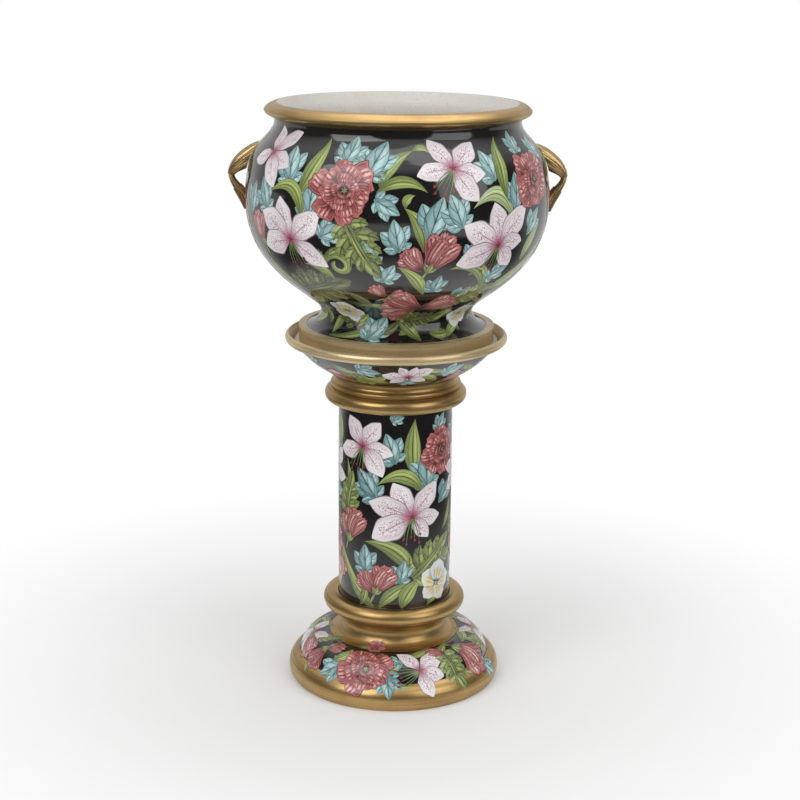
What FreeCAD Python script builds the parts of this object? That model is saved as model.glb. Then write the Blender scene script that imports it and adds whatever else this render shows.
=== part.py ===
"""Jardiniere on its stand: a glazed earthenware bowl with two gilt handles, on a pedestal in three sections.

The origin is the middle of the ring that the base stands on, and +Z is up. All sizes are in millimetres.
The pedestal's base, shaft and capital are hollow, thrown and cast like the bowl. Each is a solid of
revolution about Z. A long rod down the middle draws the three sections together, with a nut and a broad
washer at each end, and a cork ring lies in both joints so that glaze never bears on glaze.
The bowl only stands in the capital's dish, and lifts out. Its handles are luted on at its two sides.
"""

import FreeCAD, Part
import math
import os

from FreeCAD import Vector

# ---- base: a roll on the floor, a cushion above it, a hollow neck and a collar that the shaft stands in
base_ring_radius = 180.0        # where the roll meets the floor
base_ring_width = 11.0          # the flat that bears on the floor
base_roll_radius = 184.0        # the roll at its widest
base_roll_middle = 22.0         # height of the roll's widest line
base_edge_radius = 166.0        # moulded line between roll and cushion
base_edge_height = 42.0
cushion_top_radius = 112.5      # where the cushion ends and the hollow neck begins
cushion_top_height = 78.0
cushion_crown = 12.5            # how far the cushion swells outside its chord
base_wall = 10.0
under_cushion_inset = 5.0       # inside the base, from the cushion's top edge to the hollow below it
under_edge_inset = 8.0          # and from the moulded line between roll and cushion, inwards and down
under_edge_drop = 6.0
neck_waist_radius = 88.0        # the hollow neck at its narrowest
neck_waist_height = 101.0
neck_top_radius = 105.0
neck_top_height = 122.0
neck_top_step = 5.0             # ledge between the neck and the collar's ring, and its rise
neck_top_step_rise = 2.5
collar_radius = 123.5           # the collar's ring at its widest
collar_middle = 139.0
collar_height = 151.0
collar_lip = 5.0                # width of the flat between the ring and the shaft's socket
socket_depth = 19.0             # how far the shaft stands down in the collar
socket_clearance = 0.6
web_thickness = 11.0            # floor of the socket, which the rod's washer pulls against

# ---- shaft: a plain tube
shaft_radius = 98.0
shaft_wall = 9.0
shaft_length = 376.0

# ---- cork rings between the sections
cork_thickness = 2.0
cork_inset = 0.5                # the ring's edges lie this far inside the shaft's wall

# ---- capital: a ring and a bead round the shaft's head, a flare, and a dish with a gilt lip.
# Its heights are above its own lower edge.
head_depth = 13.2               # how far the capital comes down over the shaft
head_lip = 3.5                  # width of the flat round the shaft at the lower edge
head_ring_radius = 120.5        # the large ring
head_ring_middle = 15.2
head_ring_top_radius = 109.5
head_ring_top = 25.2
head_bead_radius = 111.5        # the small bead above it
head_bead_middle = 29.2
head_bead_top_radius = 107.5
head_bead_top = 34.7
throat_radius = 104.5           # the narrow hollow under the flare
throat_height = 41.7
flare_foot_radius = 113.0
flare_foot_height = 50.2
flare_top_radius = 171.5
flare_top_height = 99.5
flare_crown = 4.0               # how far the flare swells outside its chord
dish_step = 6.0                 # the step from the flare's top out to the gilt lip, and its rise
dish_step_rise = 2.4
dish_lip_radius = 187.8
dish_lip_middle = 109.7
dish_crest_radius = 182.0
dish_crest_height = 117.7
dish_depth = 12.5               # from the crest down to the floor that the bowl stands on
dish_floor_radius = 171.0
dish_side_out = 3.75            # the dish's side, halfway down, from the floor's edge
dish_side_rise = 5.0
dish_floor_thickness = 10.0
capital_wall = 9.0
ledge_width = 10.0              # the ledge inside that bears on the shaft's head

# ---- bowl: its heights are above the flat of its own foot
seat_gap = 0.3                  # between the foot and the dish's floor
foot_radius = 165.0             # the gilt band of the foot
foot_band_height = 26.0
foot_band_hollow = 1.2          # how far the band is hollowed between its two edges
foot_ring_width = 14.0          # the flat that bears on the dish
foot_sweep = 9.0                # how far the foot's sweep sags inside its chord
waist_radius = 127.0            # the narrow line between foot and belly
waist_height = 51.0
belly_foot_radius = 148.8       # on the curve from the waist out to the belly
belly_foot_height = 75.7
belly_low_radius = 196.6
belly_low_height = 114.4
belly_side_radius = 231.0
belly_side_height = 156.0
belly_upper_radius = 247.0
belly_upper_height = 196.5
belly_radius = 251.7            # the belly at its widest
belly_height = 240.0
shoulder_radius = 240.7
shoulder_height = 310.7
neck_sweep_radius = 213.6       # on the hollow sweep between shoulder and neck
neck_sweep_height = 345.9
bowl_neck_radius = 203.3
bowl_neck_height = 371.0
rim_under_radius = 214.5        # under the rolled rim
rim_under_height = 377.0
rim_radius = 219.5              # the rim at its widest
rim_middle = 384.5
rim_side_hollow = 1.0           # how far the rim's side stands back below its widest line
rim_crest_radius = 198.5
bowl_height = 395.7
rim_crown = 3.0                 # how far the rim's top swells above its chord
bowl_wall = 9.0
bowl_floor_thickness = 12.0
bowl_floor_inset = 22.5         # from the waist's radius to the edge of the flat floor inside
belly_foot_lean = 0.2           # how the outline sets off from the waist, out for each step up
inside_foot_rise = 0.1          # how the inside sets off from the floor, up for each step out
inside_places = 8               # places at which the inside follows the outline

# ---- handles, from root to tail. Heights are above the belly's widest line, out is from the belly's
# surface at that height to the middle of the limb, and the sizes are half widths.
root_height = 82.0              # the upper root, inside the bowl's wall
root_out = -13.0
root_width = 22.0
root_depth = 9.5
bend_height = 57.0              # where the limb stands off the shoulder
bend_out = 9.6
bend_width = 15.5
bend_depth = 12.8
knee_height = 35.0              # the outermost line of the limb
knee_out = 23.5
knee_width = 9.5
knee_depth = 5.2
wrist_height = 10.0             # where the limb comes back down on the belly
wrist_out = 9.6
wrist_width = 9.0
wrist_depth = 7.7
tail_height = -21.8             # the lower root
tail_out = 0.3
tail_width = 5.5
tail_depth = 3.0
leaf_rise = 1.4                 # how far the two leaves stand out from the limb that they wrap
leaf_ribs = 9                   # ribs round a leaf
leaf_rib_depth = 0.09           # as a share of the leaf's half width
upper_leaf_share = 0.49         # the upper leaf ends at this share of the limb, from root to tail
lower_leaf_share = 0.70         # and the lower leaf begins at this share
limb_spans = 4                  # root to bend, bend to knee, knee to wrist and wrist to tail
sections_per_span = 2
places_per_rib = 4              # points of a section's outline for each of its ribs
plain_places = 16               # and of a section without ribs

# ---- rod, washers and nuts
rod_radius = 5.0
rod_hole_radius = 6.5
rod_end_length = 5.0            # how far the rod stands out of each nut
washer_radius = 30.0
washer_thickness = 3.0
nut_across_flats = 17.0
nut_height = 8.0
nut_chamfer = 1.0               # height of the nut's chamfer, and how far it runs in
nut_chamfer_run = 2.0
thread_clearance = 0.1
washer_clearance = 0.5

# ---- where each section stands
web_top = collar_height - socket_depth
web_under = web_top - web_thickness
shaft_foot = web_top + cork_thickness
shaft_head = shaft_foot + shaft_length
ledge_height = shaft_head + cork_thickness
capital_foot = ledge_height - head_depth
dish_floor_height = dish_crest_height - dish_depth
dish_under_height = dish_floor_height - dish_floor_thickness
dish_floor = capital_foot + dish_floor_height
bowl_foot = dish_floor + seat_gap
socket_radius = shaft_radius + socket_clearance
upright = Vector(0, 0, 1)


def at(radius, height):
    """A point of an outline, in the plane of X and Z."""
    return Vector(radius, 0, height)


def line(start, end):
    return Part.makeLine(start, end)


def arc(start, middle, end):
    return Part.Arc(start, middle, end).toShape()


def swelling(start, end, rise):
    """An arc whose middle lies the rise to the right of its chord, looking from start to end."""
    chord = end - start
    right = Vector(chord.z, 0, -chord.x).normalize()
    return arc(start, (start + end) * 0.5 + right * rise, end)


def through(points, first, last):
    """A smooth curve through the points that sets off and arrives in the given directions."""
    curve = Part.BSplineCurve()
    curve.interpolate(Points=points, InitialTangent=first, FinalTangent=last)
    return curve


def turned(edges):
    """The solid that a closed outline makes when it is turned about Z."""
    face = Part.Face(Part.Wire(Part.__sortEdges__(edges)))
    return face.revolve(Vector(0, 0, 0), upright, 360)


def ring(inner, outer, foot, height):
    """A flat ring about Z."""
    disc = Part.makeCylinder(outer, height, at(0, foot))
    return disc.cut(Part.makeCylinder(inner, height, at(0, foot)))


# ---------------------------------------------------------------- pedestal
def base():
    ring_out = at(base_ring_radius, 0)
    edge = at(base_edge_radius, base_edge_height)
    cushion_top = at(cushion_top_radius, cushion_top_height)
    neck_top = at(neck_top_radius, neck_top_height)
    collar_foot = at(neck_top_radius + neck_top_step, neck_top_height + neck_top_step_rise)
    lip = at(socket_radius + collar_lip, collar_height)
    socket_rim = at(socket_radius, collar_height)
    socket_floor = at(socket_radius, web_top)
    hole_top = at(rod_hole_radius, web_top)
    hole_under = at(rod_hole_radius, web_under)
    neck_bore = neck_waist_radius - base_wall
    bore_top = at(neck_bore, web_under)
    bore_foot = at(neck_bore, neck_waist_height - base_wall)
    under_cushion = at(cushion_top_radius - under_cushion_inset, cushion_top_height - base_wall)
    under_edge = at(base_edge_radius - under_edge_inset, base_edge_height - under_edge_drop)
    ring_in = at(base_ring_radius - base_ring_width, 0)
    return turned([
        arc(ring_out, at(base_roll_radius, base_roll_middle), edge),
        swelling(edge, cushion_top, cushion_crown),
        arc(cushion_top, at(neck_waist_radius, neck_waist_height), neck_top),
        line(neck_top, collar_foot),
        arc(collar_foot, at(collar_radius, collar_middle), lip),
        line(lip, socket_rim),
        line(socket_rim, socket_floor),
        line(socket_floor, hole_top),
        line(hole_top, hole_under),
        line(hole_under, bore_top),
        line(bore_top, bore_foot),
        line(bore_foot, under_cushion),
        swelling(under_cushion, under_edge, -cushion_crown),
        arc(under_edge, at(base_roll_radius - base_wall, base_roll_middle), ring_in),
        line(ring_in, ring_out),
    ])


def shaft():
    return ring(shaft_radius - shaft_wall, shaft_radius, shaft_foot, shaft_length)


def cork_ring(foot):
    return ring(shaft_radius - shaft_wall + cork_inset, shaft_radius - cork_inset, foot, cork_thickness)


def capital():
    lip = at(socket_radius + head_lip, 0)
    ring_top = at(head_ring_top_radius, head_ring_top)
    bead_top = at(head_bead_top_radius, head_bead_top)
    flare_foot = at(flare_foot_radius, flare_foot_height)
    flare_top = at(flare_top_radius, flare_top_height)
    lip_foot = at(flare_top_radius + dish_step, flare_top_height + dish_step_rise)
    crest = at(dish_crest_radius, dish_crest_height)
    floor_edge = at(dish_floor_radius, dish_floor_height)
    hole_top = at(rod_hole_radius, dish_floor_height)
    hole_under = at(rod_hole_radius, dish_under_height)
    slope = (flare_top_height - flare_foot_height) / (flare_top_radius - flare_foot_radius)
    rise = capital_wall * math.hypot(1, slope)
    bore = socket_radius - ledge_width
    bore_top = at(bore, flare_foot_height + rise - (flare_foot_radius - bore) * slope)
    under_dish = at(bore + (dish_under_height - bore_top.z) / slope, dish_under_height)
    solid = turned([
        arc(lip, at(head_ring_radius, head_ring_middle), ring_top),
        arc(ring_top, at(head_bead_radius, head_bead_middle), bead_top),
        arc(bead_top, at(throat_radius, throat_height), flare_foot),
        swelling(flare_foot, flare_top, flare_crown),
        line(flare_top, lip_foot),
        arc(lip_foot, at(dish_lip_radius, dish_lip_middle), crest),
        arc(crest, at(dish_floor_radius + dish_side_out, dish_floor_height + dish_side_rise), floor_edge),
        line(floor_edge, hole_top),
        line(hole_top, hole_under),
        line(hole_under, under_dish),
        line(under_dish, bore_top),
        line(bore_top, at(bore, head_depth)),
        line(at(bore, head_depth), at(socket_radius, head_depth)),
        line(at(socket_radius, head_depth), at(socket_radius, 0)),
        line(at(socket_radius, 0), lip),
    ])
    solid.translate(at(0, capital_foot))
    return solid


# ---------------------------------------------------------------- bowl
def belly_curve():
    """The bowl's outline from its waist to its neck."""
    return through([
        at(waist_radius, waist_height),
        at(belly_foot_radius, belly_foot_height),
        at(belly_low_radius, belly_low_height),
        at(belly_side_radius, belly_side_height),
        at(belly_upper_radius, belly_upper_height),
        at(belly_radius, belly_height),
        at(shoulder_radius, shoulder_height),
        at(neck_sweep_radius, neck_sweep_height),
        at(bowl_neck_radius, bowl_neck_height),
    ], at(belly_foot_lean, 1), upright)


def inner_curve():
    """The bowl's inside from its floor's edge to its neck, one wall inside the outline."""
    outline = belly_curve()
    points = []
    for step in range(1, inside_places + 1):
        place = outline.FirstParameter + (outline.LastParameter - outline.FirstParameter) * step / inside_places
        along = outline.tangent(place)[0]
        points.append(outline.value(place) + Vector(-along.z, 0, along.x) * bowl_wall)
    floor_edge = at(waist_radius - bowl_floor_inset, waist_height + bowl_floor_thickness)
    return through([floor_edge] + points, at(1, inside_foot_rise), upright)


def rim_and_foot(wall_line):
    """The outline's other edges, from the neck over the rim to wall_line's top, and round the foot."""
    neck = at(bowl_neck_radius, bowl_neck_height)
    under = at(rim_under_radius, rim_under_height)
    outer = at(rim_radius, rim_middle)
    crest = at(rim_crest_radius, bowl_height)
    mouth = wall_line.EndPoint
    band_foot = at(foot_radius, 0)
    band_top = at(foot_radius, foot_band_height)
    ring_in = at(foot_radius - foot_ring_width, 0)
    hollow_foot = at(foot_radius - foot_ring_width, foot_band_height - bowl_wall)
    hollow_top = at(waist_radius - bowl_wall, waist_height)
    floor_edge = wall_line.StartPoint
    return [
        line(neck, under),
        arc(under, at(rim_radius - rim_side_hollow, (rim_under_height + rim_middle) * 0.5), outer),
        swelling(outer, crest, rim_crown),
        line(crest, mouth),
        swelling(band_foot, band_top, -foot_band_hollow),
        swelling(band_top, at(waist_radius, waist_height), -foot_sweep),
        line(at(0, waist_height), hollow_top),
        swelling(hollow_foot, hollow_top, -foot_sweep),
        line(hollow_foot, ring_in),
        line(ring_in, band_foot),
        line(floor_edge, at(0, floor_edge.z)),
        line(at(0, floor_edge.z), at(0, waist_height)),
    ]


def bowl():
    inside = inner_curve()
    solid = turned([belly_curve().toShape(), inside.toShape()] + rim_and_foot(inside))
    solid.translate(at(0, bowl_foot))
    return solid


# ---------------------------------------------------------------- handles
def beside_belly(out, height):
    """The point at a height above the belly's widest line that lies so far out from the belly there."""
    level = belly_height + height
    reach = belly_curve().toShape().distToShape(line(at(0, level), at(belly_radius * 2, level)))[1][0][0].x
    return at(reach + out, level)


def limb_curves():
    """The middle line of a handle's limb, and its half width and half depth, by spans from the root."""
    scale = list(range(limb_spans + 1))
    middle = Part.BSplineCurve()
    middle.interpolate(Parameters=scale, Points=[
        beside_belly(root_out, root_height),
        beside_belly(bend_out, bend_height),
        beside_belly(knee_out, knee_height),
        beside_belly(wrist_out, wrist_height),
        beside_belly(tail_out, tail_height),
    ])
    sizes = Part.BSplineCurve()
    sizes.interpolate(Parameters=scale, Points=[
        Vector(root_width, root_depth, 0),
        Vector(bend_width, bend_depth, 0),
        Vector(knee_width, knee_depth, 0),
        Vector(wrist_width, wrist_depth, 0),
        Vector(tail_width, tail_depth, 0),
    ])
    return middle, sizes


def limb_section(middle, sizes, place, rise, ribs):
    """A closed outline square to the limb, rise larger than the limb is there, with ribs round it."""
    along = middle.tangent(place)[0]
    outward = Vector(along.z, 0, -along.x)
    across = Vector(0, 1, 0)
    size = sizes.value(place)
    points = []
    count = places_per_rib * ribs or plain_places
    for step in range(count):
        turn = 2 * math.pi * step / count
        swell = 1 + leaf_rib_depth * (math.cos(turn * ribs) - 1) * 0.5 if ribs else 1
        half_width = (size.x + rise) * swell
        half_depth = (size.y + rise) * swell
        points.append(middle.value(place) + across * half_width * math.sin(turn)
                      - outward * half_depth * math.cos(turn))
    curve = Part.BSplineCurve()
    curve.interpolate(Points=points, PeriodicFlag=True)
    return Part.Wire(curve.toShape())


def limb_stretch(start, end, rise, ribs):
    """The solid of the limb, or of a leaf round it, from start to end in spans from the root."""
    middle, sizes = limb_curves()
    steps = math.ceil((end - start) * sections_per_span)
    wires = [limb_section(middle, sizes, start + (end - start) * step / steps, rise, ribs)
             for step in range(steps + 1)]
    return Part.makeLoft(wires, True, False)


def handle():
    """The right-hand handle, trimmed to the belly that it is luted on."""
    limb = limb_stretch(0, limb_spans, 0, 0)
    upper_leaf = limb_stretch(0, limb_spans * upper_leaf_share, leaf_rise, leaf_ribs)
    lower_leaf = limb_stretch(limb_spans * lower_leaf_share, limb_spans, leaf_rise, leaf_ribs)
    belly = turned([
        belly_curve().toShape(),
        line(at(bowl_neck_radius, bowl_neck_height), at(0, bowl_neck_height)),
        line(at(0, bowl_neck_height), at(0, waist_height)),
        line(at(0, waist_height), at(waist_radius, waist_height)),
    ])
    solid = limb.fuse([upper_leaf, lower_leaf]).cut(belly)
    solid.translate(at(0, bowl_foot))
    return solid


def other_side(shape):
    """A copy of the shape, half a turn round the bowl."""
    copy = shape.copy()
    copy.rotate(at(0, 0), upright, 180)
    return copy


# ---------------------------------------------------------------- rod, washers and nuts
washer_tops = [web_under, dish_floor + washer_thickness]
nut_feet = [web_under - washer_thickness - nut_height, dish_floor + washer_thickness]
rod_foot = nut_feet[0] - rod_end_length
rod_length = nut_feet[1] + nut_height + rod_end_length - rod_foot


def tie_rod():
    return Part.makeCylinder(rod_radius, rod_length, at(0, rod_foot))


def rod_washers():
    bore = rod_radius + washer_clearance
    return [ring(bore, washer_radius, top - washer_thickness, washer_thickness) for top in washer_tops]


def nut(foot):
    corner = nut_across_flats / math.sqrt(3)
    corners = [Vector(corner * math.cos(math.radians(60 * side)), corner * math.sin(math.radians(60 * side)), 0)
               for side in range(7)]
    block = Part.Face(Part.makePolygon(corners)).extrude(at(0, nut_height))
    flat = nut_across_flats / 2
    reach = flat + nut_chamfer_run
    rounding = turned([
        line(at(0, 0), at(flat, 0)),
        line(at(flat, 0), at(reach, nut_chamfer)),
        line(at(reach, nut_chamfer), at(reach, nut_height - nut_chamfer)),
        line(at(reach, nut_height - nut_chamfer), at(flat, nut_height)),
        line(at(flat, nut_height), at(0, nut_height)),
        line(at(0, nut_height), at(0, 0)),
    ])
    bore = Part.makeCylinder(rod_radius + thread_clearance, nut_height)
    solid = block.common(rounding).cut(bore)
    solid.translate(at(0, foot))
    return solid


def rod_nuts():
    return [nut(foot) for foot in nut_feet]


right_handle = handle()
parts = {
    "base": [base()],
    "lower_cork_ring": [cork_ring(web_top)],
    "shaft": [shaft()],
    "upper_cork_ring": [cork_ring(shaft_head)],
    "capital": [capital()],
    "tie_rod": [tie_rod()],
    "rod_washers": rod_washers(),
    "rod_nuts": rod_nuts(),
    "bowl": [bowl()],
    "right_handle": [right_handle],
    "left_handle": [other_side(right_handle)],
}

os.makedirs("parts", exist_ok=True)
for name, shapes in parts.items():
    solids = [solid for shape in shapes for solid in shape.Solids]
    whole = solids[0] if len(solids) == 1 else Part.makeCompound(solids)
    whole.exportStep("parts/" + name + ".step")
    print(name, len(solids), "solid(s), valid:", whole.isValid(), "volume:", round(whole.Volume / 1000), "cm3")
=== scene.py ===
import math
import random

import bmesh
import bpy
from bpy.props import FloatProperty, FloatVectorProperty, IntProperty, PointerProperty
from mathutils import Matrix, Vector


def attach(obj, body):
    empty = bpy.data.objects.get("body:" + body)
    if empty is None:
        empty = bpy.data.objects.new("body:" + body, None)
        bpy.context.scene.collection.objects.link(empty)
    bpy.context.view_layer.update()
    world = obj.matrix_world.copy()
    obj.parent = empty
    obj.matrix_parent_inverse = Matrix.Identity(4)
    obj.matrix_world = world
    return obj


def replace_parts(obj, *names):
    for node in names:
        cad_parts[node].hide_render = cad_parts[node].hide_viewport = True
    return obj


bl_info = {
    "name": "Painted jardiniere on a pedestal",
    "version": (1, 0, 0),
    "blender": (4, 5, 0),
    "location": "View3D > Sidebar > Jardiniere",
    "description": "Glazed bowl and pedestal with gilt mouldings, painted with lilies, peonies and tulips",
    "category": "Object",
}

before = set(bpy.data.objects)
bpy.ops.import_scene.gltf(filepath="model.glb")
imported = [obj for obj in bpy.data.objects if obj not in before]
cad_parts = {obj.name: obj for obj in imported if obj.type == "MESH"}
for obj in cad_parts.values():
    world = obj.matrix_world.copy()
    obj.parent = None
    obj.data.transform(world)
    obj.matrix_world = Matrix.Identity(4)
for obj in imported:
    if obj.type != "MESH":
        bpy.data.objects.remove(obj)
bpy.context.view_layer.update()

MM = 0.001
BOWL = "jardiniere"
PEDESTAL = "pedestal"


# ---------------------------------------- sizes and colours
class JardiniereSizes(bpy.types.PropertyGroup):
    turns: IntProperty(name="Steps round", description="Faces round each turned piece", default=192, min=24)
    glaze_inset: FloatProperty(
        name="Glaze inset", description="How far the glaze lies inside the outline, under the enamel",
        default=0.75 * MM, unit="LENGTH")
    enamel: FloatProperty(
        name="Enamel", description="How far the first painted layer stands on the glaze",
        default=0.06 * MM, unit="LENGTH")
    layer: FloatProperty(
        name="Layer", description="How much higher each further layer of paint lies",
        default=0.01 * MM, unit="LENGTH")
    cell: FloatProperty(
        name="Cell", description="Size of a petal's faces, in millimetres", default=2.6, min=1.0)


class JardiniereColours(bpy.types.PropertyGroup):
    glaze: FloatVectorProperty(name="Glaze", description="Black ground", subtype="COLOR",
                               default=(0.006, 0.005, 0.005))
    gold: FloatVectorProperty(name="Gold", description="Brushed gilding", subtype="COLOR",
                              default=(0.54, 0.36, 0.145))
    gold_shade: FloatVectorProperty(name="Gold shade", description="Brown that shows through the gilding",
                                    subtype="COLOR", default=(0.14, 0.068, 0.02))
    biscuit: FloatVectorProperty(name="Inside", description="Off-white slip inside the bowl",
                                 subtype="COLOR", default=(0.72, 0.70, 0.66))


class StageSettings(bpy.types.PropertyGroup):
    floor: FloatVectorProperty(name="Floor", description="Pale floor", subtype="COLOR",
                               default=(0.86, 0.86, 0.86))
    key: FloatProperty(name="Key light", description="Power of the large soft light", default=60.0,
                       unit="POWER")
    lens: FloatProperty(name="Lens", description="Focal length on a sensor 36 mm wide", default=76.3)
    roll: FloatProperty(name="Roll", description="How far the camera is turned about its own axis",
                        default=math.radians(0.55), unit="ROTATION")


# ---------------------------------------- outlines of the turned pieces
def arc(start, middle, end, steps):
    """Points on the circle through three (radius, height) points, from start to end."""
    (x1, y1), (x2, y2), (x3, y3) = start, middle, end
    d = 2 * (x1 * (y2 - y3) + x2 * (y3 - y1) + x3 * (y1 - y2))
    s1, s2, s3 = x1 * x1 + y1 * y1, x2 * x2 + y2 * y2, x3 * x3 + y3 * y3
    cx = (s1 * (y2 - y3) + s2 * (y3 - y1) + s3 * (y1 - y2)) / d
    cy = (s1 * (x3 - x2) + s2 * (x1 - x3) + s3 * (x2 - x1)) / d
    radius = math.hypot(x1 - cx, y1 - cy)
    first, mid, last = (math.atan2(y - cy, x - cx) for x, y in (start, middle, end))
    mid = first + (mid - first + math.pi) % math.tau - math.pi
    last = mid + (last - mid + math.pi) % math.tau - math.pi
    angles = [first + (last - first) * step / steps for step in range(steps + 1)]
    return [(cx + radius * math.cos(a), cy + radius * math.sin(a)) for a in angles]


def swelling(start, end, rise, steps):
    """An arc whose middle lies the rise to the right of its chord, looking from start to end."""
    (x1, y1), (x2, y2) = start, end
    length = math.hypot(x2 - x1, y2 - y1)
    middle = ((x1 + x2) / 2 + (y2 - y1) / length * rise, (y1 + y2) / 2 - (x2 - x1) / length * rise)
    return arc(start, middle, end, steps)


def curve(points, steps):
    """A smooth curve through the points."""
    padded = [points[0]] + list(points) + [points[-1]]
    result = []
    for p0, p1, p2, p3 in zip(padded, padded[1:], padded[2:], padded[3:]):
        for step in range(steps):
            t = step / steps
            result.append(tuple(
                0.5 * (2 * b + (c - a) * t + (2 * a - 5 * b + 4 * c - d) * t * t
                       + (3 * b - a - 3 * c + d) * t ** 3)
                for a, b, c, d in zip(p0, p1, p2, p3)))
    return result + [points[-1]]


# Radii and heights in millimetres, with the floor at 0.
SHAFT_RADIUS = 98.0
SHAFT_BORE = 89.0
SHAFT_FOOT, SHAFT_HEAD = 134.0, 510.0
SHAFT_SIDE = [(SHAFT_RADIUS, 151), (SHAFT_RADIUS, 500)]
SOCKET = 98.6
SOCKET_FLOOR = 132.0
COLLAR_TOP = 151.0
ROD_HOLE = 6.5
CAPITAL_BORE = 88.6
CAPITAL_FOOT, CAPITAL_LEDGE = 498.8, 512.0
DISH_UNDERSIDE, DISH_FLOOR = 594.0, 604.0
FOOT = 604.3
FOOT_HOLLOW = (151, 621.3)
BOWL_UNDERSIDE = (118, 655.3)
BOWL_FLOOR = (104.5, 667.3)
NECK = (203.3, 975.3)

BASE_ROLL = arc((180, 0), (184, 22), (166, 42), 24)
BASE_CUSHION = swelling((166, 42), (112.5, 78), 12.5, 24)
BASE_NECK = arc((112.5, 78), (88, 101), (105, 122), 24)
BASE_COLLAR = [(105, 122)] + arc((110, 124.5), (123.5, 139), (103.6, COLLAR_TOP), 24)
HEAD_RINGS = (arc((102.1, CAPITAL_FOOT), (120.5, 514), (109.5, 524), 24)
              + arc((109.5, 524), (111.5, 528), (107.5, 533.5), 12)[1:])
HEAD_THROAT = arc((107.5, 533.5), (104.5, 540.5), (113, 549), 12)
FLARE = swelling((113, 549), (171.5, 598.3), 4, 24)
DISH_LIP = arc((177.5, 600.7), (187.8, 608.5), (182, 616.5), 16)
DISH_INSIDE = arc((182, 616.5), (174.75, 609), (171, DISH_FLOOR), 8)
FOOT_BAND = swelling((165, FOOT), (165, 630.3), -1.2, 10)
FOOT_SWEEP = swelling((165, 630.3), (127, 655.3), -9, 16)
BELLY = curve([(127, 655.3), (133, 667), (148.8, 680), (175.3, 700), (203.4, 725), (230.8, 760.3),
               (247, 800.8), (251.8, 844), (249, 884), (240.7, 915), (229, 933), (213.6, 950.2),
               (205, 963), NECK], 8)
RIM = ([NECK] + arc((214.5, 981.3), (218.5, 985), (219.5, 988.8), 8)
       + swelling((219.5, 988.8), (198.5, 1000), 3, 14)[1:])
BOWL_INSIDE = curve([(198.5, 1000), (196, 988), (194.3, 975.3), (197, 962), (206, 946), (222, 928),
                     (232, 911), (240, 882), (242.7, 846), (238, 803), (222.5, 765), (196, 731),
                     (169, 707), (142, 687), (122, 673), BOWL_FLOOR], 6)

# The gilding of the foot band reaches a little way up the sweep, and the painted side starts there.
GILT_STEPS = 4
BOWL_SIDE = FOOT_SWEEP[GILT_STEPS:] + BELLY[1:]


class Outline:
    """The painted side of a turned piece, from bottom to top, in millimetres.

    It is kept as a table of (radius, height, outward radius, outward height) at even steps along it."""
    STEP = 0.5
    REACH = 3

    def __init__(self, *stretches):
        points = [point for stretch in stretches for point in stretch]
        lengths = [0.0]
        for (r1, z1), (r2, z2) in zip(points, points[1:]):
            lengths.append(lengths[-1] + math.hypot(r2 - r1, z2 - z1))
        places, piece = [], 0
        for step in range(int(lengths[-1] / self.STEP) + 1):
            while lengths[piece + 1] < step * self.STEP:
                piece += 1
            share = (step * self.STEP - lengths[piece]) / (lengths[piece + 1] - lengths[piece])
            (r1, z1), (r2, z2) = points[piece], points[piece + 1]
            places.append((r1 + (r2 - r1) * share, z1 + (z2 - z1) * share))
        self.table = []
        for step, (radius, height) in enumerate(places):
            r1, z1 = places[max(step - self.REACH, 0)]
            r2, z2 = places[min(step + self.REACH, len(places) - 1)]
            size = math.hypot(r2 - r1, z2 - z1)
            self.table.append((radius, height, (z2 - z1) / size, -(r2 - r1) / size))

    def at_length(self, length):
        """The table's row at a length from the bottom, between two of its steps."""
        place = min(max(length / self.STEP, 0.0), len(self.table) - 1.001)
        first, second = self.table[int(place)], self.table[int(place) + 1]
        share = place - int(place)
        return [a + (b - a) * share for a, b in zip(first, second)]

    def length_at(self, height):
        return next(step * self.STEP for step, row in enumerate(self.table) if row[1] >= height)

    def surface(self, azimuth, length, lift):
        """The point of the surface in metres, lifted outwards by lift metres. Azimuth 0 faces the front."""
        radius, height, out_r, out_z = self.at_length(length)
        r = radius * MM + out_r * lift
        return Vector((r * math.sin(azimuth), -r * math.cos(azimuth), height * MM + out_z * lift))


# ---------------------------------------- materials
def by_math(operation, swapped=False):
    """A method of Number that adds one Math node. A swapped one takes its numbers the other way round."""
    def method(self, *others):
        numbers = (*others, self) if swapped else (self, *others)
        node = self.nodes.node("ShaderNodeMath", {"operation": operation}, numbers)
        return Number(self.nodes, node.outputs[0])
    return method


class Number:
    """A number that changes over a surface. Expressions on it add the material's Math nodes."""

    def __init__(self, nodes, socket):
        self.nodes, self.socket = nodes, socket

    __add__ = __radd__ = by_math("ADD")
    __sub__ = by_math("SUBTRACT")
    __rsub__ = by_math("SUBTRACT", swapped=True)
    __mul__ = __rmul__ = by_math("MULTIPLY")
    __gt__ = by_math("GREATER_THAN")
    __lt__ = by_math("LESS_THAN")
    sine = by_math("SINE")
    size = by_math("ABSOLUTE")
    most = by_math("MAXIMUM")

    def between(self, low, high):
        """0 below low, 1 above high, and a smooth step from one to the other."""
        node = self.nodes.node("ShaderNodeMapRange", {"interpolation_type": "SMOOTHSTEP"},
                               {"Value": self, "From Min": low, "From Max": high})
        return Number(self.nodes, node.outputs["Result"])

    def until(self, low, high):
        """1 below low, 0 above high, and a smooth step from one to the other."""
        return 1 - self.between(low, high)


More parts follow.
